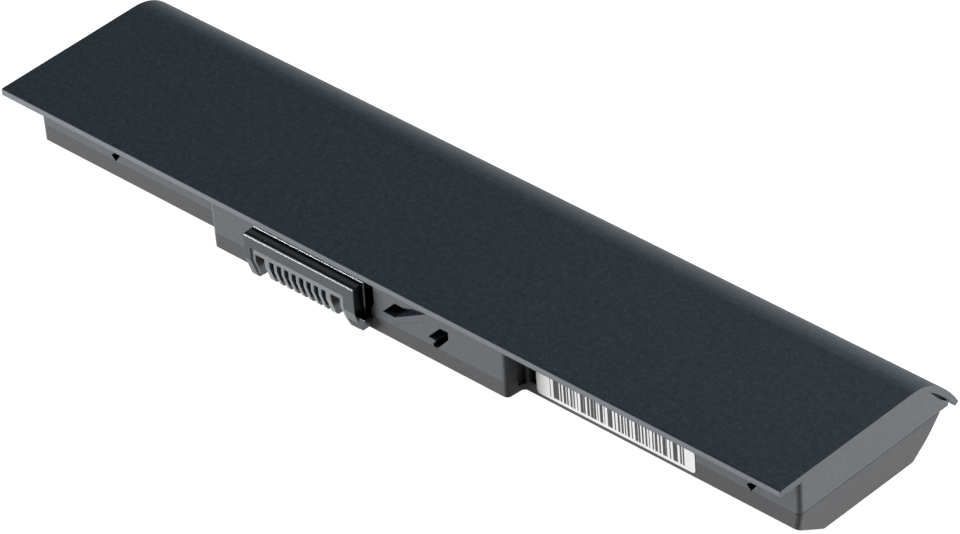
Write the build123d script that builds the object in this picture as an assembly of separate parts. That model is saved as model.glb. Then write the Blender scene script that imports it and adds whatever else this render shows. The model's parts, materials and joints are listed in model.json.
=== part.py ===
from build123d import *
import os
from math import cos, radians, sin, tan

# A six-cell laptop battery pack: two moulded shells, a comb connector, a board and the cells.
# Drawing frame: X from the cover plate's left end, Y from its front edge, Z up from the bottom.
# "Depth" is a distance below the top face of the cover plate. All sizes are in millimetres.

# Cells, in two rows of three
cell_diameter = 15.9
cell_length = 64.3
cells_per_row = 3
sleeve_thickness = 0.08
sleeve_clearance = 0.02
cap_diameter = 7.0
cap_height = 0.4
cap_clearance = 0.6
cap_paper_thickness = 0.2
cap_paper_width = 10.4
row_gap = 0.15
column_gap = 0.5
end_gap = 0.73
cell_slack = 0.06
front_row_setback = 17.5

# Cover plate and its curved rear lip
plate_thickness = 1.5
plate_flat = 37.45
plate_edge_round = 0.35
left_overhang = 5.0
rear_bend_radius = 11.5
rear_bend_angle = 42.0
lip_radius = 27.0
lip_angle = 18.0
lip_tip_thickness = 1.15
lip_rib_count = 9
lip_rib_thickness = 1.0
lip_rib_inset = 0.7
lip_rib_angle = 57.0

# Case walls
case_wall = 1.1
seam_depth = 8.9
seam_groove = 0.25
front_recess = 5.3
corner_round = 1.0
inner_corner_round = 0.4
upper_draft = 1.0
lower_draft = 1.0
right_draft = 10.5
front_slope = 32.0
rear_slope = 56.0
rear_bulge = 0.8
bulge_round = 20.0
bottom_round = 2.0
end_round = 1.2
rear_wall_corners = [(41.4, 1.5), (42.6, 3.05), (45.1, 6.0), (47.6, 8.0), (47.6, 8.6)]
rear_cavity_top = 40.0

# Connector bay, the middle of the front
bay_lead = 14.0
bay_length = 78.4
bay_recess = 0.6
bay_floor_depth = 12.5

# Comb connector
connector_offset = 27.0
connector_length = 29.4
connector_reach = 2.6
connector_top_depth = 2.15
connector_leg_depth = 13.0
connector_rear_depth = 11.2
connector_clearance = 0.25
opening_edge = [(2.4, 1.5), (2.3, 5.9), (1.4, 7.9), (1.3, 10.2), (0.35, 12.4), (0.35, 18.0)]
connector_notch = 2.0
connector_edge_round = 0.5
frame_band = 2.75
left_leg = 1.6
right_leg = 2.95
frame_step = 0.35
comb_offset = 26.2
comb_depth = 12.2
comb_bend_depth = 8.0
comb_slant = 1.7
comb_tip_round = 1.0
foot_corners = [(-3.3, 10.8), (-2.1, 11.9), (0.1, 11.9), (1.8, 10.1), (1.8, 9.2), (-0.3, 9.3)]
foot_setback = 0.9
foot_thickness = 2.0
rim_front = 0.2
rim_proud = 0.2
rim_thickness = 0.9
slot_top_depth = 6.3
slot_pitch = 2.0
signal_slots = 8
signal_slot_width = 1.2
power_slot_width = 2.5
power_slot_offset = 3.15

# Contacts
contact_leaf = 0.2
contact_clearance = 0.05
contact_front = 3.0
contact_top_depth = 6.5
contact_bottom_depth = 10.4
contact_base = 1.0

# Latch pockets and snap windows in the front walls
latch_block_offset = 43.5
latch_block_length = 22.5
latch_block_depth = 5.4
ramp_pocket_depth = 3.2
ramp_offset = 46.3
ramp_corners = [(0, 6.9), (3.45, 3.4), (5.75, 3.4), (8.45, 2.45), (11.9, 2.0), (3.15, 6.9)]
ramp_ridge = [(2.9, 8.35), (11.2, 3.75)]
ridge_width = 0.3
ridge_height = 0.12
hook_pocket_depth = 4.2
hook_offset = 58.2
hook_corners = [(0, 7.25), (3.4, 3.8), (5.5, 3.75), (5.4, 5.6), (2.3, 9.1), (1.6, 9.1)]
hook_nib = [(1.1, 8.5), (1.85, 7.75), (1.75, 7.3)]
window_corners = [(-1.1, 8.0), (0.6, 6.5), (1.4, 7.2), (0.0, 9.15)]
left_window = 26.2
right_window_inset = 11.8
corner_slot_width = 1.1
corner_slot_reach = 1.6
corner_slot_depth = 11.4
side_slot_offset = 1.3
side_slot_width = 1.9
side_slot_depth = 10.4

# Circuit board and what is soldered to it
board_thickness = 1.0
component_clearance = 0.1
board_left_margin = 0.8
board_right_margin = 4.5
board_top_depth = 2.0
board_bottom_depth = 11.4
board_slack = 0.1
rib_thickness = 1.2
rib_cheek = 0.8
rib_hold = 1.2
rib_inset = 4.0
gauge_size = (7.8, 6.4, 1.1)
guard_size = (5.0, 4.4, 1.0)
transistor_size = (4.9, 3.9, 1.5)
transistor_pitch = 6.0
fuse_size = (4.0, 3.0, 0.9)
shunt_size = (6.4, 3.2, 0.6)
capacitor_size = (1.6, 0.8, 0.8)
capacitor_pitch = 2.6
capacitor_count = 5
capacitor_depth = 10.3
component_depth = 6.0

# Gaps along the board, from the connector to the shunt, the transistors and the capacitors,
# then from each of the other parts to the one before it
shunt_place = 1.1
transistor_place = 1.35
capacitor_place = 10.3
guard_place = 2.05
gauge_place = 2.1
fuse_place = 1.3

# Nickel strips, leads, papers and pads
strip_thickness = 0.12
strip_width = 6.0
strip_overrun = 2.5
tab_width = 4.0
paper_thickness = 0.15
paper_margin = 2.0
lead_diameter = 1.3
sensor_diameter = 2.2
sensor_length = 5.0
sensor_wire = 0.4
sensor_spread = 1.2
sensor_position = 104.0
sensor_depth = 3.6
sensor_gap = 0.1
pad_width = 3.6
spot_diameter = 3.0
board_paper_top_depth = 4.8
board_paper_bottom_depth = 11.4

# Bar-code label on the right front wall
label_thickness = 0.1
label_offset = 3.34
label_length = 39.8
label_top_depth = 6.6
label_bottom_depth = 12.0
label_corner = 0.9

# Sizes that follow from the ones above
sleeve_diameter = cell_diameter + 2 * (sleeve_thickness + sleeve_clearance)
sleeved_length = cell_length + 2 * sleeve_thickness
cell_radius = sleeve_diameter / 2
pack_height = plate_thickness + sleeve_diameter + 2 * cell_slack + case_wall
axis_depth = plate_thickness + cell_slack + cell_radius
row_y = [front_row_setback, front_row_setback + sleeve_diameter + row_gap]
case_radius = cell_radius + cell_slack + case_wall
seam_z = pack_height - seam_depth
stack_length = cells_per_row * sleeved_length + (cells_per_row - 1) * column_gap
lower_height = pack_height - seam_depth
bulge_depth = (seam_depth + pack_height) / 2
left_draw = lower_height * tan(radians(lower_draft))
right_draw = lower_height * tan(radians(right_draft))
upper_grow = (seam_depth - plate_thickness) * tan(radians(upper_draft))
first_cell = left_overhang + left_draw + case_wall + end_gap
body_right = first_cell + stack_length + end_gap + case_wall + right_draw
plate_length = body_right + upper_grow
second_cell = first_cell + sleeved_length + column_gap
bay_left = second_cell - bay_lead
bay_right = bay_left + bay_length
label_left = bay_right + label_offset
board_setback = front_recess + case_wall + gauge_size[2] + component_clearance
board_rear = board_setback + board_thickness
connector_middle = bay_left + connector_offset
connector_left = connector_middle - connector_length / 2
connector_right = connector_middle + connector_length / 2
comb_middle = bay_left + comb_offset
shunt_x = connector_left - shunt_place - shunt_size[0] / 2
transistor_x = connector_right + transistor_place + transistor_size[0] / 2
capacitor_x = connector_right + capacitor_place
guard_x = transistor_x + transistor_pitch + (transistor_size[0] + guard_size[0]) / 2 + guard_place
gauge_x = guard_x + (guard_size[0] + gauge_size[0]) / 2 + gauge_place
fuse_x = gauge_x + (gauge_size[0] + fuse_size[0]) / 2 + fuse_place
board_left = shunt_x - shunt_size[0] / 2 - board_left_margin
board_length = second_cell + sleeved_length + column_gap + board_right_margin - board_left
lip_end_angle = rear_bend_angle + lip_angle


def level(depth):
    return pack_height - depth


def bend_point(radius):
    """A point at the end of the rear bend, seen from the right."""
    angle = radians(rear_bend_angle)
    return plate_flat + radius * sin(angle), level(rear_bend_radius - radius * cos(angle))


def lip_point(angle, inset):
    """A point of the lip where it has turned by an angle from the flat, drawn in from its outer face."""
    y, z = bend_point(rear_bend_radius)
    first = radians(rear_bend_angle)
    turn = radians(angle)
    y += lip_radius * (sin(turn) - sin(first))
    z -= lip_radius * (cos(first) - cos(turn))
    return y - inset * sin(turn), z - inset * cos(turn)


pack_front = -connector_reach
pack_back = lip_point(lip_end_angle, 0)[0]


def place(part):
    """Move a part from the drawing frame to the pack's own frame, with its origin below the middle."""
    return Pos(-plate_length / 2, -(pack_front + pack_back) / 2, 0) * part


def block(x0, x1, y0, y1, z0, z1):
    return Pos((x0 + x1) / 2, (y0 + y1) / 2, (z0 + z1) / 2) * Box(x1 - x0, y1 - y0, z1 - z0)


def outline_face(points, radii=0):
    return make_face(FilletPolyline(*points, radius=radii, close=True))


def along_x(face, x0, x1):
    """Extrude a (y, z) face from x0 to x1."""
    return extrude(Plane.YZ.offset(x0) * face, amount=x1 - x0)


def along_y(face, y0, y1):
    """Extrude an (x, z) face from y0 to y1."""
    plane = Plane(origin=(0, y1, 0), x_dir=(1, 0, 0), z_dir=(0, -1, 0))
    return extrude(plane * face, amount=y1 - y0)


def along_z(face, z0, z1):
    """Extrude an (x, y) face from z0 to z1."""
    return extrude(Plane.XY.offset(z0) * face, amount=z1 - z0)


# The case, from its outlines seen from above, from the right and from the front
def plan_face(z, inset, right_inset, radius):
    """The case seen from above at a height, drawn in by an inset, with another at the right end."""
    left = left_overhang + inset
    right = body_right - right_inset
    front = front_recess + inset
    bay_front = bay_recess + inset
    rear = pack_back
    points = [
        (left, front),
        (bay_left + inset, front),
        (bay_left + inset, bay_front),
        (bay_right - inset, bay_front),
        (bay_right - inset, front),
        (right, front),
        (right, rear),
        (left, rear),
    ]
    return Plane.XY.offset(z) * outline_face(points, radius)


def upper_block(inset, radius):
    """What the upper walls enclose, from the seam to inside the plate, with its draft."""
    low = plan_face(seam_z, inset, inset, radius)
    high = plan_face(level(plate_thickness), inset - upper_grow, inset - upper_grow, radius)
    return loft([low, high], ruled=True)


def lower_block(inset, radius):
    """What the lower walls enclose, from the seam to the bottom, with its draft."""
    high = plan_face(seam_z, inset, inset, radius)
    low = plan_face(0, inset + left_draw, inset + right_draw, radius)
    return loft([low, high], ruled=True)


def slope_corner(y, angle_a, angle_b, radius):
    """Where two lines meet that touch a circle round a cell row, given by their normals."""
    middle = radians((angle_a + angle_b) / 2)
    reach = radius / cos(radians((angle_b - angle_a) / 2))
    return y + reach * cos(middle), level(axis_depth + reach * sin(middle))


def rear_at(depth, radius):
    """How far back the rear slope lies at a depth."""
    angle = radians(90 - rear_slope)
    return row_y[1] + (radius - sin(angle) * (depth - axis_depth)) / cos(angle)


def front_slope_depth(y, radius):
    """How deep the front slope lies at a distance from the front."""
    angle = radians(front_slope)
    return axis_depth + (radius + sin(angle) * (y - row_y[0])) / cos(angle)


def lower_section(inset):
    """The lower case seen from the right: its slopes hug the two rows of cells."""
    radius = case_radius - inset
    wall_y = front_recess + inset
    points = [
        (pack_front - bay_recess, seam_z),
        (pack_front - bay_recess, level(bay_floor_depth - inset)),
        (bay_recess + inset, level(bay_floor_depth - inset)),
        (wall_y, level(front_slope_depth(wall_y, radius))),
        slope_corner(row_y[0], 90 + front_slope, 90, radius),
        slope_corner(row_y[1], 90, 90 - rear_slope, radius),
        (rear_at(bulge_depth, radius) + rear_bulge, level(bulge_depth)),
        (rear_at(seam_depth, radius), seam_z),
    ]
    if inset:
        return outline_face(points)
    return outline_face(points, [0, 0, 0, 0, bottom_round, bottom_round, bulge_round, 0])


def upper_section(inset):
    """The upper case seen from the right: its rear wall leans in under the lip."""
    points = [(pack_front - bay_recess, seam_z), (pack_front - bay_recess, level(plate_thickness))]
    if inset:
        points.append((rear_cavity_top, level(plate_thickness)))
        points.append((rear_at(seam_depth, case_radius) - inset, seam_z))
    else:
        points += [(y, level(depth)) for y, depth in rear_wall_corners]
        points.append((rear_wall_corners[-1][0], seam_z))
    return outline_face(points)


def side_section():
    """The lower case seen from the front, with its two lower ends rounded."""
    points = [(0, 0), (body_right - right_draw, 0), (body_right, seam_z), (0, seam_z)]
    points[0] = (left_overhang + left_draw, 0)
    points[3] = (left_overhang, seam_z)
    return outline_face(points, [end_round, end_round, 0, 0])


def connector_opening():
    """The gap in the bay's front wall and floor that the connector stands in."""
    left = connector_left - connector_clearance
    points = [(left, level(opening_edge[0][1]))]
    points += [(connector_right + beyond, level(depth)) for beyond, depth in opening_edge]
    points.append((left, level(opening_edge[-1][1])))
    return along_y(outline_face(points), pack_front - bay_recess, bay_recess + case_wall + connector_notch)


def cover_plate():
    """The top plate, bent down into a thin lip along its rear edge."""
    outer_bend = bend_point(rear_bend_radius)
    inner_bend = bend_point(rear_bend_radius - plate_thickness)
    tip = lip_point(lip_end_angle, 0)
    inner_tip = lip_point(lip_end_angle, lip_tip_thickness)
    down = (cos(radians(rear_bend_angle)), -sin(radians(rear_bend_angle)))
    flat_end = (plate_flat, level(0))
    under_end = (plate_flat, level(plate_thickness))
    ahead = (1, 0)
    edges = [
        Line((0, level(plate_edge_round)), (0, level(plate_thickness))),
        Line((0, level(plate_thickness)), under_end),
        TangentArc(under_end, inner_bend, tangent=ahead),
        TangentArc(inner_bend, inner_tip, tangent=down),
        Line(inner_tip, tip),
        TangentArc(outer_bend, tip, tangent=down),
        TangentArc(flat_end, outer_bend, tangent=ahead),
        Line(flat_end, (plate_edge_round, level(0))),
        TangentArc((0, level(plate_edge_round)), (plate_edge_round, level(0)), tangent=(0, 1)),
    ]
    return along_x(make_face(Curve() + edges), 0, plate_length)


def lip_ribs():
    """Small webs that join the lip to the rear wall."""
    bite = lip_tip_thickness / 2
    points = [(y - bite, level(depth)) for y, depth in rear_wall_corners[:-1]]
    points += [lip_point(lip_rib_angle, bite), bend_point(rear_bend_radius - bite)]
    first = left_overhang + lip_rib_inset
    spacing = (body_right - lip_rib_inset - lip_rib_thickness - first) / (lip_rib_count - 1)
    places = [first + spacing * i for i in range(lip_rib_count)]
    return [along_x(outline_face(points), x, x + lip_rib_thickness) for x in places]


def latch_pocket(offset, corners, depth):
    """A slanted recess for a latch in the bay's front wall."""
    points = [(bay_left + offset + along, level(down)) for along, down in corners]
    return along_y(outline_face(points), pack_front, bay_recess + depth)


def latch_pockets():
    """The recess with a climbing floor, and the hole with a small nib left standing at its lower left."""
    ramp = latch_pocket(ramp_offset, ramp_corners, ramp_pocket_depth)
    hook = latch_pocket(hook_offset, hook_corners + hook_nib, hook_pocket_depth)
    return [ramp, hook]


def ridge():
    """The faint bead below the climbing floor."""
    (x0, d0), (x1, d1) = [(bay_left + ramp_offset + along, depth) for along, depth in ramp_ridge]
    points = [(x0, level(d0)), (x1, level(d1)), (x1, level(d1 + ridge_width)), (x0, level(d0 + ridge_width))]
    return along_y(outline_face(points), bay_recess - ridge_height, bay_recess + ridge_width)


def front_windows():
    """The small openings in the front walls: a pointed one near each end, two slots beside the bay."""
    rear = front_recess + case_wall + upper_grow
    cutters = []
    for x in (left_window, body_right - right_window_inset):
        points = [(x + along, level(depth)) for along, depth in window_corners]
        cutters.append(along_y(outline_face(points), bay_recess, rear))
    cutters.append(block(
        bay_right - corner_slot_width / 2,
        bay_right + corner_slot_width / 2,
        front_recess - corner_slot_reach,
        rear,
        level(corner_slot_depth),
        level(plate_thickness),
    ))
    cutters.append(block(
        bay_right + side_slot_offset,
        bay_right + side_slot_offset + side_slot_width,
        bay_recess,
        rear,
        level(side_slot_depth),
        level(plate_thickness),
    ))
    return cutters


def upper_cover():
    """The upper shell: plate, lip, walls, latch block, pockets and windows in one moulding."""
    full = upper_block(0, corner_round) & along_x(upper_section(0), 0, plate_length)
    hollow = upper_block(case_wall, inner_corner_round)
    hollow = hollow & along_x(upper_section(case_wall), 0, plate_length)
    latch = block(
        bay_left + latch_block_offset,
        bay_left + latch_block_offset + latch_block_length,
        bay_recess,
        latch_block_depth,
        seam_z,
        level(plate_thickness),
    )
    shell = full - (hollow - latch)
    shell = shell + ridge() - connector_opening() - latch_pockets()
    return cover_plate() + lip_ribs() + (shell - front_windows())


def board_rib(x):
    """A forked rib on the floor that holds the lower edge of the board."""
    floor = level(front_slope_depth(board_rear + rib_cheek, case_radius - case_wall / 2))
    half = rib_thickness / 2
    top = level(board_bottom_depth)
    front = board_setback - rib_cheek
    cheeks = block(x - half, x + half, front, board_rear + rib_cheek, floor, top + rib_hold)
    gap = block(
        x - half,
        x + half,
        board_setback - board_slack,
        board_rear + board_slack,
        top,
        top + rib_hold,
    )
    return cheeks - gap


def lower_case():
    """The lower shell: sloped tray with a bay, a notch for the connector and ribs for the board."""
    full = lower_block(0, corner_round) & along_x(lower_section(0), 0, plate_length)
    full = full & along_y(side_section(), pack_front, pack_back)
    hollow = lower_block(case_wall, inner_corner_round) & along_x(lower_section(case_wall), 0, plate_length)
    groove_out = plan_face(seam_z - seam_groove, -case_wall, -case_wall, corner_round)
    groove_in = plan_face(seam_z - seam_groove, seam_groove, seam_groove, corner_round)
    groove = extrude(groove_out - groove_in, amount=seam_groove)
    groove = groove & block(body_right - corner_round, plate_length, 0, pack_back, 0, pack_height)
    shell = full - hollow - groove - connector_opening() - front_windows() - latch_pockets()
    for x in (board_left + rib_inset, board_left + board_length - rib_inset):
        shell = shell + (board_rib(x) & full)
    return shell


# Connector
def comb_section(front, bottom):
    """The connector's side outline: upright front, then slanting back to its lower end."""
    slope = comb_slant / (connector_leg_depth - comb_bend_depth)
    notch_rear = bay_recess + case_wall + connector_notch - board_slack
    points = [
        (front, level(connector_top_depth)),
        (front, level(comb_bend_depth)),
        (front + slope * (bottom - comb_bend_depth), level(bottom)),
        (notch_rear, level(bottom)),
        (notch_rear, level(connector_rear_depth)),
        (board_setback, level(connector_rear_depth)),
        (board_setback, level(connector_top_depth)),
    ]
    edge = connector_edge_round
    return outline_face(points, [edge, comb_tip_round, comb_tip_round, 0, 0, 0, 0])


def slot_places():
    """Each slot's middle and width, from left to right."""
    first = comb_middle - slot_pitch * (signal_slots - 1) / 2
    last = comb_middle + slot_pitch * (signal_slots - 1) / 2
    signals = [(first + slot_pitch * i, signal_slot_width) for i in range(signal_slots)]
    powers = [(first - power_slot_offset, power_slot_width), (last + power_slot_offset, power_slot_width)]
    return powers, signals


def connector_housing():
    """An arch-shaped frame with a set-back comb of teeth between its legs, open below."""
    front = pack_front
    outer = comb_section(front, connector_leg_depth)
    legs = along_x(outer, connector_left, connector_left + left_leg)
    legs = legs + along_x(outer, connector_right - right_leg, connector_right)
    bridge = along_x(outer, connector_left, connector_right)
    bridge = bridge & block(
        connector_left,
        connector_right,
        front,
        board_setback,
        level(connector_top_depth + frame_band),
        level(connector_top_depth),
    )
    comb = along_x(comb_section(front + frame_step, comb_depth), connector_left, connector_right)
    rim = block(
        connector_left - rim_proud,
        connector_right + rim_proud,
        rim_front,
        rim_front + rim_thickness,
        level(comb_depth),
        level(connector_top_depth - rim_proud),
    )
    corners = [(connector_right + along, level(depth)) for along, depth in foot_corners]
    foot = along_y(outline_face(corners), front + foot_setback, front + foot_setback + foot_thickness)
    housing = comb + bridge + legs + rim + foot
    powers, signals = slot_places()
    for middle, width in powers + signals:
        housing = housing - block(
            middle - width / 2,
            middle + width / 2,
            front,
            board_setback,
            0,
            level(slot_top_depth),
        )
    return housing


def contact_fork(middle, width):
    """A two-leaved contact that stands in its slot and is soldered to the board behind it."""
    half = width / 2 - contact_clearance
    front = pack_front + contact_front
    base = board_setback - contact_base
    points = [
        (middle - half, front),
        (middle - half + contact_leaf, front),
        (middle - half + contact_leaf, base),
        (middle + half - contact_leaf, base),
        (middle + half - contact_leaf, front),
        (middle + half, front),
        (middle + half, board_setback),
        (middle - half, board_setback),
    ]
    return along_z(outline_face(points), level(contact_bottom_depth), level(contact_top_depth))


def contacts(places):
    return Compound([contact_fork(middle, width).solid() for middle, width in places])


# Circuit board
def circuit_board():
    return block(
        board_left,
        board_left + board_length,
        board_setback,
        board_rear,
        level(board_bottom_depth),
        level(board_top_depth),
    )


def on_board(x, size, depth=component_depth):
    """A component on the board's front face, with its middle at x."""
    width, height, thickness = size
    front = board_setback - thickness
    low = level(depth) - height / 2
    return block(x - width / 2, x + width / 2, front, board_setback, low, low + height)


def board_row(x, pitch, count, size, depth=component_depth):
    """Several alike components in a row on the board."""
    row = [on_board(x + pitch * i, size, depth).solid() for i in range(count)]
    return Compound(row)


def capacitors():
    return board_row(capacitor_x, capacitor_pitch, capacitor_count, capacitor_size, capacitor_depth)


# Cells
def cell_x(column):
    return first_cell + column * (sleeved_length + column_gap)


def turned(points, x, y):
    """Turn an (along, radius) outline about a cell's axis."""
    face = make_face(Polyline(*points, close=True))
    solid = revolve(face, axis=Axis.X)
    return Pos(x, y, level(axis_depth)) * solid


def cell_can(x, y):
    """A cell: steel can with its raised positive cap at the right."""
    shoulder = sleeve_thickness + cell_length - cap_height
    points = [
        (sleeve_thickness, 0),
        (sleeve_thickness, cell_diameter / 2),
        (shoulder, cell_diameter / 2),
        (shoulder, cap_diameter / 2),
        (sleeve_thickness + cell_length, cap_diameter / 2),
        (sleeve_thickness + cell_length, 0),
    ]
    return turned(points, x, y)


def cell_sleeve(x, y):
    """The shrunk sleeve that wraps the can, with a rim past its flat negative end."""
    shoulder = sleeve_thickness + cell_length - cap_height
    inner = cell_diameter / 2 + sleeve_clearance
    points = [(0, inner), (0, cell_radius), (shoulder, cell_radius), (shoulder, inner)]
    return turned(points, x, y)


def cap_paper(column):
    """The paper on a pair's positive ends, with a hole round each raised cap."""
    shoulder = cell_x(column) + sleeve_thickness + cell_length - cap_height
    z = level(axis_depth)
    front = row_y[0] - cap_paper_width / 2
    rear = row_y[1] + cap_paper_width / 2
    sheet = block(
        shoulder,
        shoulder + cap_paper_thickness,
        front,
        rear,
        z - cap_paper_width / 2,
        z + cap_paper_width / 2,
    )
    for y in row_y:
        hole = Pos(y, z) * Circle(cap_diameter / 2 + cap_clearance)
        sheet = sheet - along_x(hole, shoulder, shoulder + cap_paper_thickness)
    return sheet


# Nickel strips
def strip_plate(x0, front):
    """A strip across one end of a pair of cells, from a front edge to just past the rear cap."""
    z = level(axis_depth)
    return block(
        x0,
        x0 + strip_thickness,
        front,
        row_y[1] + cap_diameter / 2 + strip_overrun,
        z - strip_width / 2,
        z + strip_width / 2,
    )


def weld_spots(x):
    """The dents that press a strip through the sleeve's lap onto a pair's flat negative ends."""
    spot = Circle(spot_diameter / 2)
    z = level(axis_depth)
    return [along_x(Pos(y, z) * spot, x, x + sleeve_thickness) for y in row_y]


def link_strip(column):
    """The folded strip that joins a pair's positive ends to the next pair's negative ends."""
    start = cell_x(column) + sleeve_thickness + cell_length
    end = cell_x(column + 1)
    front = row_y[0] - cap_diameter / 2 - strip_overrun
    rear = row_y[1] + cap_diameter / 2 + strip_overrun
    z = level(axis_depth)
    fold = block(start, end, rear, rear + strip_thickness, z - strip_width / 2, z + strip_width / 2)
    tab = block(start, start + strip_thickness, board_rear, front, z - tab_width / 2, z + tab_width / 2)
    strip = strip_plate(start, front) + strip_plate(end - strip_thickness, front) + fold + tab
    return strip + weld_spots(end)


def link_paper(column):
    """The paper between the two layers of a folded strip."""
    middle = (cell_x(column) + cell_x(column + 1) + sleeved_length) / 2
    z = level(axis_depth)
    half = strip_width / 2 + paper_margin
    return block(
        middle - paper_thickness / 2,
        middle + paper_thickness / 2,
        row_y[0] - cap_diameter / 2,
        row_y[1] + cap_diameter / 2 + strip_overrun,
        z - half,
        z + half,
    )


def lead_y():
    """The leads run between the front wall and the cells, in line with the board."""
    return board_setback + board_thickness / 2


def negative_strip():
    """The strip on the left ends, with a tab that reaches forward to its lead."""
    strip = strip_plate(cell_x(0) - strip_thickness, lead_y() - lead_diameter / 2)
    return strip + weld_spots(cell_x(0))


def positive_strip():
    """The strip on the right ends, with a tab that reaches forward to its lead."""
    x = cell_x(cells_per_row - 1) + sleeve_thickness + cell_length
    return strip_plate(x, lead_y() - lead_diameter / 2)


def lead(x0, x1):
    """A straight insulated lead from a strip to the end of the board."""
    circle = Pos(lead_y(), level(axis_depth)) * Circle(lead_diameter / 2)
    return along_x(circle, x0, x1)


def thermistor():
    """A bead laid against the middle front cell, with two wires to the board."""
    rise = axis_depth - sensor_depth
    touch = cell_radius + sensor_diameter / 2 + sensor_gap
    y = row_y[0] - (touch ** 2 - rise ** 2) ** 0.5
    z = level(sensor_depth)
    bead = along_x(Pos(y, z) * Circle(sensor_diameter / 2), sensor_position, sensor_position + sensor_length)
    for side in (-1, 1):
        x = sensor_position + sensor_length / 2 + side * sensor_spread
        wire = along_y(Pos(x, z) * Circle(sensor_wire / 2), board_rear, y)
        bead = bead + wire
    return bead


def board_paper():
    """The paper that keeps the board off the cells, between the two link tabs."""
    left = cell_x(1) + tab_width
    right = cell_x(2) - tab_width
    rear = row_y[0] - cell_radius - sensor_gap
    bottom = level(board_paper_bottom_depth)
    return block(left, right, rear - paper_thickness, rear, bottom, level(board_paper_top_depth))


def adhesive_pads():
    """The two strips of tape on the floor that the cells stand on."""
    z = case_wall
    top = case_wall + cell_slack
    last = cell_x(cells_per_row - 1) + sleeved_length
    pads = [block(first_cell, last, y - pad_width / 2, y + pad_width / 2, z, top) for y in row_y]
    return Compound([pad.solid() for pad in pads])


def barcode_label():
    """A thin sticker that follows the right front wall across the seam."""
    right = label_left + label_length
    points = [(label_left, level(label_top_depth)), (right, level(label_top_depth))]
    points += [(right, level(label_bottom_depth)), (label_left, level(label_bottom_depth))]
    box = along_y(outline_face(points, label_corner), bay_recess, front_recess + case_wall)
    low = lower_block(-label_thickness, corner_round) - lower_block(0, corner_round)
    high = upper_block(-label_thickness, corner_round) - upper_block(0, corner_round)
    sheet = (low + high) & box
    return sheet


def build_parts():
    powers, signals = slot_places()
    parts = {
        "upper_cover": upper_cover(),
        "lower_case": lower_case(),
        "connector_housing": connector_housing(),
        "power_contacts": contacts(powers),
        "signal_contacts": contacts(signals),
        "circuit_board": circuit_board(),
        "gauge_chip": on_board(gauge_x, gauge_size),
        "guard_chip": on_board(guard_x, guard_size),
        "power_transistors": board_row(transistor_x, transistor_pitch, 2, transistor_size),
        "capacitors": capacitors(),
        "chip_fuse": on_board(fuse_x, fuse_size),
        "shunt_resistor": on_board(shunt_x, shunt_size),
        "thermistor": thermistor(),
        "negative_strip": negative_strip(),
        "positive_strip": positive_strip(),
        "board_paper": board_paper(),
        "adhesive_pads": adhesive_pads(),
        "barcode_label": barcode_label(),
    }
    number = 0
    for y in row_y:
        for column in range(cells_per_row):
            number += 1
            x = cell_x(column)
            parts[f"cell_{number}"] = cell_can(x, y)
            parts[f"cell_sleeve_{number}"] = cell_sleeve(x, y)
    for column in range(cells_per_row):
        parts[f"cap_paper_{column + 1}"] = cap_paper(column)
    for column in range(cells_per_row - 1):
        parts[f"link_strip_{column + 1}"] = link_strip(column)
        parts[f"link_paper_{column + 1}"] = link_paper(column)
    negative_x = cell_x(0)
    positive_x = cell_x(cells_per_row - 1) + sleeve_thickness + cell_length
    parts["negative_lead"] = lead(negative_x, board_left)
    parts["positive_lead"] = lead(board_left + board_length, positive_x)
    return parts


os.makedirs("parts", exist_ok=True)
for name, part in build_parts().items():
    export_step(place(part), f"parts/{name}.step")
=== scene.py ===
import json
import math

import bpy
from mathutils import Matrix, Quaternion, Vector


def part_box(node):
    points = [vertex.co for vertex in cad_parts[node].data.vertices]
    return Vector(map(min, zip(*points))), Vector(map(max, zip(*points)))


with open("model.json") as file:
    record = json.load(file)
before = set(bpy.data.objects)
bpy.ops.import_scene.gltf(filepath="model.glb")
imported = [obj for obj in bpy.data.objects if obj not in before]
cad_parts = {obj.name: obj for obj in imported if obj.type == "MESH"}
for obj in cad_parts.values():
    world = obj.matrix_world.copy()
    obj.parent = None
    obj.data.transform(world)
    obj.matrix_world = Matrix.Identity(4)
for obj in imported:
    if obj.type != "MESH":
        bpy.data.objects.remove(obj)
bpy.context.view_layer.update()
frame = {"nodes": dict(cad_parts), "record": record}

# Camera, fitted to the plate's corners and edges in the photograph
# Its place is measured from the plate's top corner at the right front
camera_from_corner = Vector((0.60958, -0.67714, 0.72263))
camera_ahead = Vector((-0.572411, 0.567632, -0.591726))
camera_roll = -3.848
camera_lens = 240.19
sensor_width = 36.0
camera_clip = (0.05, 50.0)

# Colours as linear values
top_colour = (0.0195, 0.0295, 0.0380)
top_dark = (0.0125, 0.0200, 0.0272)
top_speck = (0.040, 0.054, 0.067)
wall_colour = (0.144, 0.152, 0.163)
wall_dark = (0.122, 0.129, 0.138)
# Painted highlight on the plate's front edge, standing in for the light that edge catches
edge_highlight_colour = (0.205, 0.219, 0.240)
# Painted highlight line along the cover's lower edge, standing in for light caught by the seam
seam_highlight_colour = (0.210, 0.215, 0.220)
case_colour = (0.103, 0.105, 0.108)
case_dark = (0.087, 0.089, 0.092)
frame_colour = (0.006, 0.007, 0.009)
frame_sheen = (0.90, 0.98, 1.0)
comb_colour = (0.170, 0.176, 0.188)
# Painted highlight line on the rim behind the connector's frame
rim_highlight_colour = (0.060, 0.063, 0.070)
label_white = (0.92, 0.92, 0.93)
bar_black = (0.030, 0.030, 0.033)
floor_white = (0.35, 0.35, 0.35)

# Roughness and specular level of the moulded pieces, the label and the floor
cover_finish = (0.52, 0.12)
case_finish = (0.5, 0.15)
frame_roughness = 0.22
frame_top_roughness = 0.05
frame_level = 1.0
label_roughness = 0.45
floor_roughness = 0.9

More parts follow.
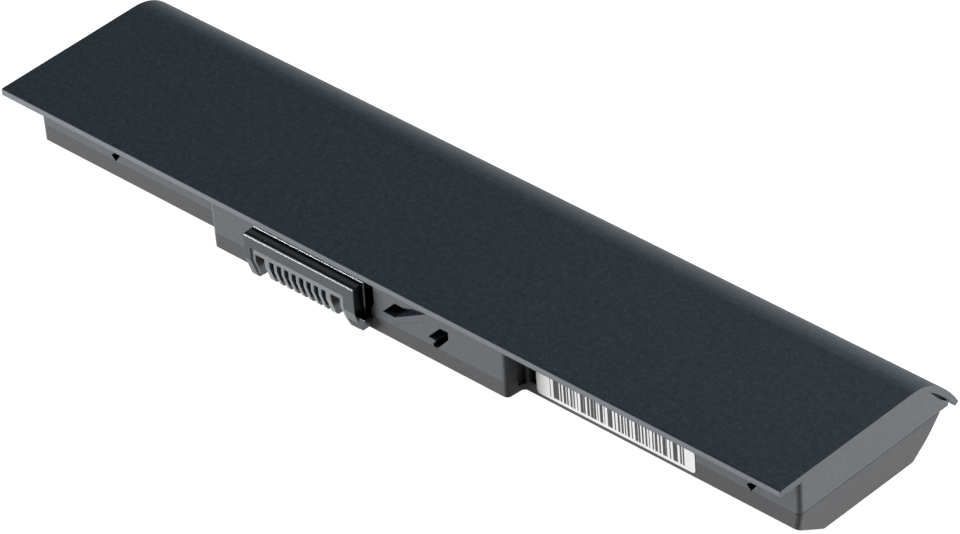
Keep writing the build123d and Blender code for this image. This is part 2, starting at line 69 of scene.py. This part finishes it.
# Inner pieces: colour, roughness and metal share for each of the record's slots
plain_finishes = {
    "contact_metal": ((0.55, 0.42, 0.2), 0.35, 1.0),
    "board": ((0.02, 0.12, 0.05), 0.4, 0.0),
    "chip": ((0.02, 0.02, 0.02), 0.6, 0.0),
    "ceramic": ((0.5, 0.4, 0.3), 0.5, 0.0),
    "bead": ((0.02, 0.02, 0.02), 0.3, 0.0),
    "nickel": ((0.66, 0.65, 0.62), 0.35, 1.0),
    "paper": ((0.72, 0.68, 0.56), 0.8, 0.0),
    "black_wire": ((0.02, 0.02, 0.02), 0.5, 0.0),
    "red_wire": ((0.45, 0.03, 0.03), 0.5, 0.0),
    "tape": ((0.75, 0.75, 0.73), 0.7, 0.0),
    "can": ((0.6, 0.6, 0.58), 0.35, 1.0),
    "sleeve": ((0.03, 0.035, 0.05), 0.35, 0.0),
}

# The plate's thickness, where the painted highlight on its front edge ends, and how softly it ends
plate_thickness = 0.0015
edge_blend = 0.0002

# The painted highlight line along the cover's lower edge: its depth below the plate's top and its width
seam_depth = 0.0089
seam_line = 0.0001

# Between which parts of a normal the coat, the front faces, the slots' flanks and the frame's top begin
coat_tilt = (0.25, 0.45)
front_tilt = (-0.4, -0.7)
flank_tilt = (0.5, 0.8)
frame_top_tilt = (0.8, 0.95)

# How far the lighter comb lies in from the connector's left, right and top, and how far behind its front
# lies the rim's painted highlight line
comb_left = 0.0018
comb_right = 0.00475
comb_top = 0.00295
rim_setback = 0.0028
rim_margin = 0.0001

# How far behind the connector's front the painted shade on the flanks of its slots begins, and where it
# is full
slot_shade_start = 0.0003
slot_shade_full = 0.0018

# Radius of the softened edges
edge_softness = 0.00025

# Fine mould grain, the coat's specks and its faint cloudiness, in features per metre, with their limits
grain_scale = 2600.0
speck_scale = 3000.0
cloud_scale = 800.0
uneven_scale = grain_scale / 8
grain_limits = (0.35, 0.65)
speck_limits = (0.60, 0.76)
cloud_limits = (0.3, 0.7)
uneven_share = 0.15

# Strength of the grain's relief on the shells and on the connector, and its height
shell_relief = 0.25
frame_relief = 0.1
relief_height = 0.0001

# Bars on the label: two rows laid over each other, each with its pitch and its thinnest and widest share,
# and the clear border
bar_rows = ((0.00086, 0.22, 0.74), (0.00230, 0.05, 0.35))
bar_left = 0.0033
bar_right = 0.0026
bar_foot = 0.0007

# Lamps: name, place, size and power
lamps = [
    ("front_key", (-1.00, -0.88, 0.14), (0.7, 0.25), 21.0),
    ("right_fill", (0.86, 1.00, 0.47), (0.8, 0.35), 30.0),
    ("edge_light", (-0.74, -0.75, 0.72), (0.5, 0.5), 3.0),
    ("rear_rim", (-0.30, 1.15, 0.50), (0.8, 0.4), 5.0),
    ("top_soft", (0.0, -0.1, 1.6), (1.2, 1.2), 2.0),
]
world_light = 0.06
floor_glow = 0.93
floor_size = 8.0
backdrop_radius = 3.6
backdrop_height = 0.9
backdrop_sides = 96


# Helpers for nodes
def new_material(name):
    """A material with its shader, ready for nodes."""
    made = bpy.data.materials.new(name)
    made.use_nodes = True
    tree = made.node_tree
    shader = next(n for n in tree.nodes if n.type == "BSDF_PRINCIPLED")
    return made, tree, shader


def add(tree, kind, **values):
    """A node of a kind, with its properties set."""
    node = tree.nodes.new(kind)
    for key, value in values.items():
        setattr(node, key, value)
    return node


def coordinate(tree, name):
    return add(tree, "ShaderNodeTexCoord").outputs[name]


def parts_of(tree, vector):
    """The X, Y and Z outputs of a vector."""
    node = add(tree, "ShaderNodeSeparateXYZ")
    tree.links.new(vector, node.inputs["Vector"])
    return node.outputs


def noise(tree, scale, detail=2.0):
    """A noise over the object's own coordinates."""
    node = add(tree, "ShaderNodeTexNoise")
    node.inputs["Scale"].default_value = scale
    node.inputs["Detail"].default_value = detail
    tree.links.new(coordinate(tree, "Object"), node.inputs["Vector"])
    return node.outputs["Fac"]


def ramp(tree, value, low, high):
    """The value stretched from a low to a high limit onto 0 to 1."""
    node = add(tree, "ShaderNodeMapRange")
    node.inputs["From Min"].default_value = low
    node.inputs["From Max"].default_value = high
    tree.links.new(value, node.inputs["Value"])
    return node.outputs["Result"]


def ramp_to(tree, value, low, high):
    """The value from 0 to 1 stretched onto a low to a high limit."""
    node = add(tree, "ShaderNodeMapRange")
    node.inputs["To Min"].default_value = low
    node.inputs["To Max"].default_value = high
    tree.links.new(value, node.inputs["Value"])
    return node.outputs["Result"]


def maths(tree, operation, first, second=0.0):
    """A sum of one or two values, each a number or a link."""
    node = add(tree, "ShaderNodeMath", operation=operation)
    for socket, value in zip(node.inputs, (first, second)):
        if isinstance(value, (int, float)):
            socket.default_value = value
        else:
            tree.links.new(value, socket)
    return node.outputs[0]


def between(tree, value, low, high):
    """One where a value lies between two limits, nought elsewhere."""
    above = maths(tree, "GREATER_THAN", value, low)
    return maths(tree, "MULTIPLY", above, maths(tree, "LESS_THAN", value, high))


def blend(tree, factor, first, second):
    """A mix of two colours, each a value or a link."""
    node = add(tree, "ShaderNodeMix", data_type="RGBA")
    tree.links.new(factor, node.inputs["Factor"])
    for socket, colour in ((node.inputs[6], first), (node.inputs[7], second)):
        if isinstance(colour, tuple):
            socket.default_value = (*colour, 1.0)
        else:
            tree.links.new(colour, socket)
    return node.outputs[2]


def relief(tree, shader, height, strength):
    """A fine relief, with the edges of the mesh softened."""
    soft = add(tree, "ShaderNodeBevel", samples=4)
    soft.inputs["Radius"].default_value = edge_softness
    node = add(tree, "ShaderNodeBump")
    node.inputs["Strength"].default_value = strength
    node.inputs["Distance"].default_value = relief_height
    tree.links.new(soft.outputs["Normal"], node.inputs["Normal"])
    tree.links.new(height, node.inputs["Height"])
    tree.links.new(node.outputs["Normal"], shader.inputs["Normal"])


def set_finish(shader, finish):
    roughness, level = finish
    shader.inputs["Roughness"].default_value = roughness
    shader.inputs["Specular IOR Level"].default_value = level


# Materials
def case_material():
    """Moulded plastic with a fine grain."""
    made, tree, shader = new_material("case_plastic")
    grain = noise(tree, grain_scale)
    colour = blend(tree, ramp(tree, grain, *grain_limits), case_dark, case_colour)
    tree.links.new(colour, shader.inputs["Base Color"])
    relief(tree, shader, grain, shell_relief)
    set_finish(shader, case_finish)
    return made


def cover_material():
    """The cover: a dark speckled coat on the faces that look up, plain grained plastic on its walls, with
    a painted highlight on the plate's front edge and a painted highlight line along the lower edge of its
    front walls.
    """
    made, tree, shader = new_material("cover_plastic")
    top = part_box("upper_cover")[1].z
    point = parts_of(tree, coordinate(tree, "Object"))
    normal = parts_of(tree, coordinate(tree, "Normal"))
    grain = noise(tree, grain_scale)
    specks = ramp(tree, noise(tree, speck_scale, 1.0), *speck_limits)
    clouds = ramp(tree, noise(tree, cloud_scale), *cloud_limits)
    coat = blend(tree, specks, blend(tree, clouds, top_dark, top_colour), top_speck)
    wall = blend(tree, ramp(tree, grain, *grain_limits), wall_dark, wall_colour)
    ahead = ramp(tree, normal["Y"], *front_tilt)
    # Painted highlight: front faces within the plate's thickness take the lighter edge colour
    edge_end = top - plate_thickness
    painted_edge_highlight = ramp(tree, point["Z"], edge_end, edge_end + edge_blend)
    wall = blend(tree, maths(tree, "MULTIPLY", painted_edge_highlight, ahead), wall, edge_highlight_colour)
    # Painted highlight: a thin lighter line along the cover's lower edge on the front faces
    painted_seam_highlight = maths(tree, "LESS_THAN", point["Z"], top - seam_depth + seam_line)
    wall = blend(tree, maths(tree, "MULTIPLY", painted_seam_highlight, ahead), wall, seam_highlight_colour)
    upward = ramp(tree, normal["Z"], *coat_tilt)
    tree.links.new(blend(tree, upward, wall, coat), shader.inputs["Base Color"])
    relief(tree, shader, grain, shell_relief)
    set_finish(shader, cover_finish)
    return made


def connector_material():
    """Glossy dark plastic, lighter on the comb between the legs, with a painted highlight line on the rim
    behind the frame and painted shade on the slots' flanks deeper in.
    """
    made, tree, shader = new_material("connector_plastic")
    low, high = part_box("connector_housing")
    point = parts_of(tree, coordinate(tree, "Object"))
    normal = parts_of(tree, coordinate(tree, "Normal"))
    inside = between(tree, point["X"], low.x + comb_left, high.x - comb_right)
    below = maths(tree, "LESS_THAN", point["Z"], high.z - comb_top)
    comb = maths(tree, "MULTIPLY", inside, below)
    # Painted highlight: a thin lighter line on the rim behind the frame
    rim_front = low.y + rim_setback
    painted_rim_highlight = between(tree, point["Y"], rim_front - rim_margin, rim_front + rim_margin)
    colour = blend(tree, comb, blend(tree, painted_rim_highlight, frame_colour, rim_highlight_colour), comb_colour)
    # Painted shade: the slots' flanks turn to the frame's dark colour deeper behind the front
    flank = ramp(tree, maths(tree, "ABSOLUTE", normal["X"]), *flank_tilt)
    slot_shade_depth = ramp(tree, point["Y"], low.y + slot_shade_start, low.y + slot_shade_full)
    colour = blend(tree, maths(tree, "MULTIPLY", flank, slot_shade_depth), colour, frame_colour)
    tree.links.new(colour, shader.inputs["Base Color"])
    relief(tree, shader, noise(tree, grain_scale), frame_relief)
    upward = ramp(tree, normal["Z"], *frame_top_tilt)
    roughness = ramp_to(tree, upward, frame_roughness, frame_top_roughness)
    tree.links.new(roughness, shader.inputs["Roughness"])
    shader.inputs["Specular IOR Level"].default_value = frame_level
    shader.inputs["Specular Tint"].default_value = (*frame_sheen, 1.0)
    return made


def label_material():
    """White film with generic bars of uneven width, with a clear border."""
    made, tree, shader = new_material("label")
    low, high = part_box("barcode_label")
    point = parts_of(tree, coordinate(tree, "Object"))
    dark = 0.0
    for pitch, thin, wide in bar_rows:
        across = maths(tree, "MULTIPLY", maths(tree, "SUBTRACT", point["X"], low.x), 1 / pitch)
        pick = add(tree, "ShaderNodeTexWhiteNoise", noise_dimensions="1D")
        tree.links.new(maths(tree, "FLOOR", across), pick.inputs["W"])
        width = ramp_to(tree, pick.outputs["Value"], thin, wide)
        row = maths(tree, "LESS_THAN", maths(tree, "FRACT", across), width)
        dark = maths(tree, "MAXIMUM", row, dark)
    for axis, start, end in (
        ("X", low.x + bar_left, high.x - bar_right),
        ("Z", low.z + bar_foot, high.z),
    ):
        dark = maths(tree, "MULTIPLY", dark, between(tree, point[axis], start, end))
    tree.links.new(blend(tree, dark, label_white, bar_black), shader.inputs["Base Color"])
    shader.inputs["Roughness"].default_value = label_roughness
    return made


def plain_material(name, colour, roughness, metallic):
    """One even colour with a slight unevenness in its roughness."""
    made, tree, shader = new_material(name)
    shader.inputs["Base Color"].default_value = (*colour, 1.0)
    shader.inputs["Metallic"].default_value = metallic
    low = roughness * (1 - uneven_share)
    high = roughness * (1 + uneven_share)
    tree.links.new(ramp_to(tree, noise(tree, uneven_scale), low, high), shader.inputs["Roughness"])
    return made


def dress_pieces():
    """Give every node the material of its slot in the record."""
    materials = {name: plain_material(name, *finish) for name, finish in plain_finishes.items()}
    materials["cover_plastic"] = cover_material()
    materials["case_plastic"] = case_material()
    materials["connector_plastic"] = connector_material()
    materials["label"] = label_material()
    for entry in frame["record"]["subparts"]:
        piece = frame["nodes"][entry["node"]]
        piece.data.materials.clear()
        piece.data.materials.append(materials[entry["material_slot"]])


# Stage, light and camera
def white_material():
    """The white of the floor and backdrop, which the camera and reflections see as a plain white."""
    made, tree, shader = new_material("floor_white")
    shader.inputs["Base Color"].default_value = (*floor_white, 1.0)
    shader.inputs["Roughness"].default_value = floor_roughness
    path = add(tree, "ShaderNodeLightPath")
    seen = maths(tree, "MAXIMUM", path.outputs["Is Camera Ray"], path.outputs["Is Glossy Ray"])
    seen = maths(tree, "MAXIMUM", seen, path.outputs["Is Transmission Ray"])
    shader.inputs["Emission Color"].default_value = (1, 1, 1, 1)
    tree.links.new(maths(tree, "MULTIPLY", seen, floor_glow), shader.inputs["Emission Strength"])
    return made


def make_stage():
    """A white floor and a low white ring round it."""
    white = white_material()
    bpy.ops.mesh.primitive_plane_add(size=floor_size, location=(0, 0, 0))
    floor = bpy.context.object
    floor.name = "floor"
    floor.data.materials.append(white)
    bpy.ops.mesh.primitive_cylinder_add(
        vertices=backdrop_sides,
        radius=backdrop_radius,
        depth=backdrop_height,
        end_fill_type="NOTHING",
        location=(0, 0, backdrop_height / 2),
    )
    backdrop = bpy.context.object
    backdrop.name = "backdrop"
    backdrop.data.materials.append(white)


def make_world():
    """A plain soft light all round."""
    world = bpy.data.worlds.new("studio")
    bpy.context.scene.world = world
    world.use_nodes = True
    tree = world.node_tree
    tree.nodes.clear()
    sky = add(tree, "ShaderNodeBackground")
    sky.inputs["Color"].default_value = (1, 1, 1, 1)
    sky.inputs["Strength"].default_value = world_light
    out = add(tree, "ShaderNodeOutputWorld")
    tree.links.new(sky.outputs["Background"], out.inputs["Surface"])


def make_lamp(name, place, size, power):
    """A rectangular lamp that points at the middle of the pack."""
    data = bpy.data.lights.new(name, "AREA")
    data.shape = "RECTANGLE"
    data.size, data.size_y = size
    data.energy = power
    lamp = bpy.data.objects.new(name, data)
    lamp.location = place
    lamp.rotation_mode = "QUATERNION"
    lamp.rotation_quaternion = (-Vector(place)).to_track_quat("-Z", "Y")
    bpy.context.scene.collection.objects.link(lamp)


def make_camera():
    data = bpy.data.cameras.new("camera")
    data.lens = camera_lens
    data.sensor_width = sensor_width
    data.clip_start, data.clip_end = camera_clip
    camera = bpy.data.objects.new("camera", data)
    low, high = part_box("upper_cover")
    camera.location = Vector((high.x, low.y, high.z)) + camera_from_corner
    camera.rotation_mode = "QUATERNION"
    turn = Quaternion((0, 0, 1), math.radians(camera_roll))
    camera.rotation_quaternion = camera_ahead.to_track_quat("-Z", "Y") @ turn
    bpy.context.scene.collection.objects.link(camera)
    bpy.context.scene.camera = camera


dress_pieces()
make_stage()
make_world()
for lamp in lamps:
    make_lamp(*lamp)
make_camera()
bpy.context.scene.view_settings.view_transform = "Standard"
